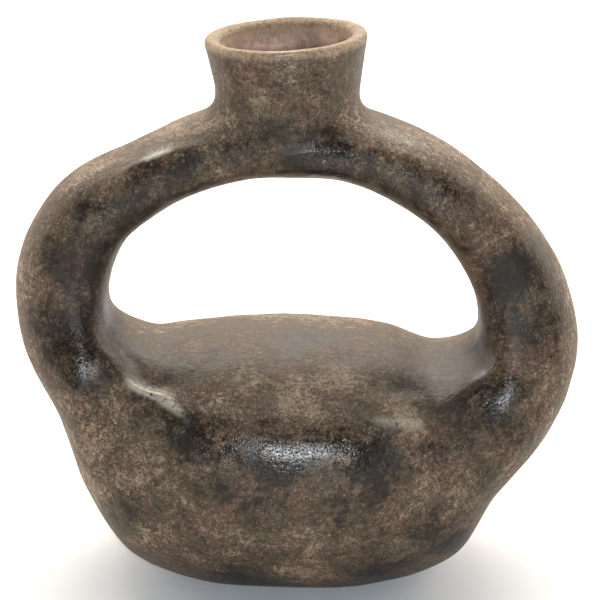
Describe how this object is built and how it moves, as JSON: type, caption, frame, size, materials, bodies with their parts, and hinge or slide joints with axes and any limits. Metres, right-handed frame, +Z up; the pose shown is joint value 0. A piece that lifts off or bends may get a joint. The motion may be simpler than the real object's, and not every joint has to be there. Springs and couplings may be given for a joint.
{
  "type": "stirrup spout vessel",
  "caption": "Hollow burnished clay vessel: a low oval chamber with a tubular stirrup arching over it and a short flared spout on top.",
  "frame": {"origin": "on the ground under the middle of the vessel's outline", "axes": "+Z up, +X to the right and +Y to the back when the stirrup's opening is seen from the front"},
  "size_m": [0.2304, 0.1312, 0.2292],
  "materials": {
    "clay": "burnished and smoke-darkened clay, mottled dark olive brown and grey with buff patches, semi-gloss"
  },
  "bodies": {
    "root": {"vessel": "clay"}
  },
  "joints": []
}
